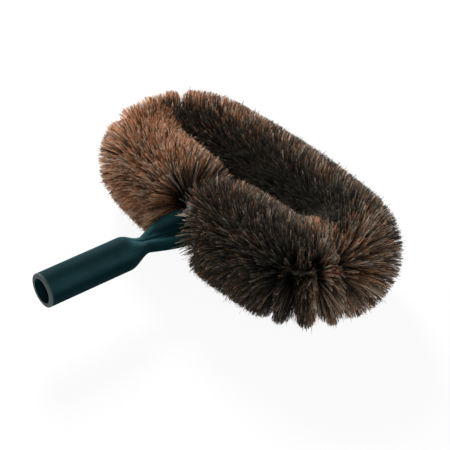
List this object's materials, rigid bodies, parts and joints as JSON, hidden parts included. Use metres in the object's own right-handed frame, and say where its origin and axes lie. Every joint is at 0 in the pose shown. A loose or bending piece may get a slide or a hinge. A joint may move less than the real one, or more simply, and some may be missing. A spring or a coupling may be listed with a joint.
{
  "type": "cobweb brush",
  "caption": "Oval loop of bristle on a twisted wire core, its two stems held in a flat-tailed plastic socket that takes a stick.",
  "frame": {"origin": "centre of the socket's mouth, on the axis of the stick bore", "axes": "+Y from the mouth along the stick bore into the head, +X along the long axis of the oval head, +Z square to the flat of the brush, up when it lies on a table"},
  "size_m": [0.3514, 0.3089, 0.0955],
  "materials": {
    "socket": "satin, very dark teal",
    "core": "galvanised wire",
    "hair": "dull dark brown hair with reddish tips"
  },
  "bodies": {
    "root": {"socket": "socket", "core_wire_1": "core", "core_wire_2": "core", "bristles_01": "hair", "bristles_02": "hair", "bristles_03": "hair", "bristles_04": "hair", "bristles_05": "hair", "bristles_06": "hair", "bristles_07": "hair", "bristles_08": "hair", "bristles_09": "hair", "bristles_10": "hair", "bristles_11": "hair", "bristles_12": "hair"}
  },
  "joints": []
}
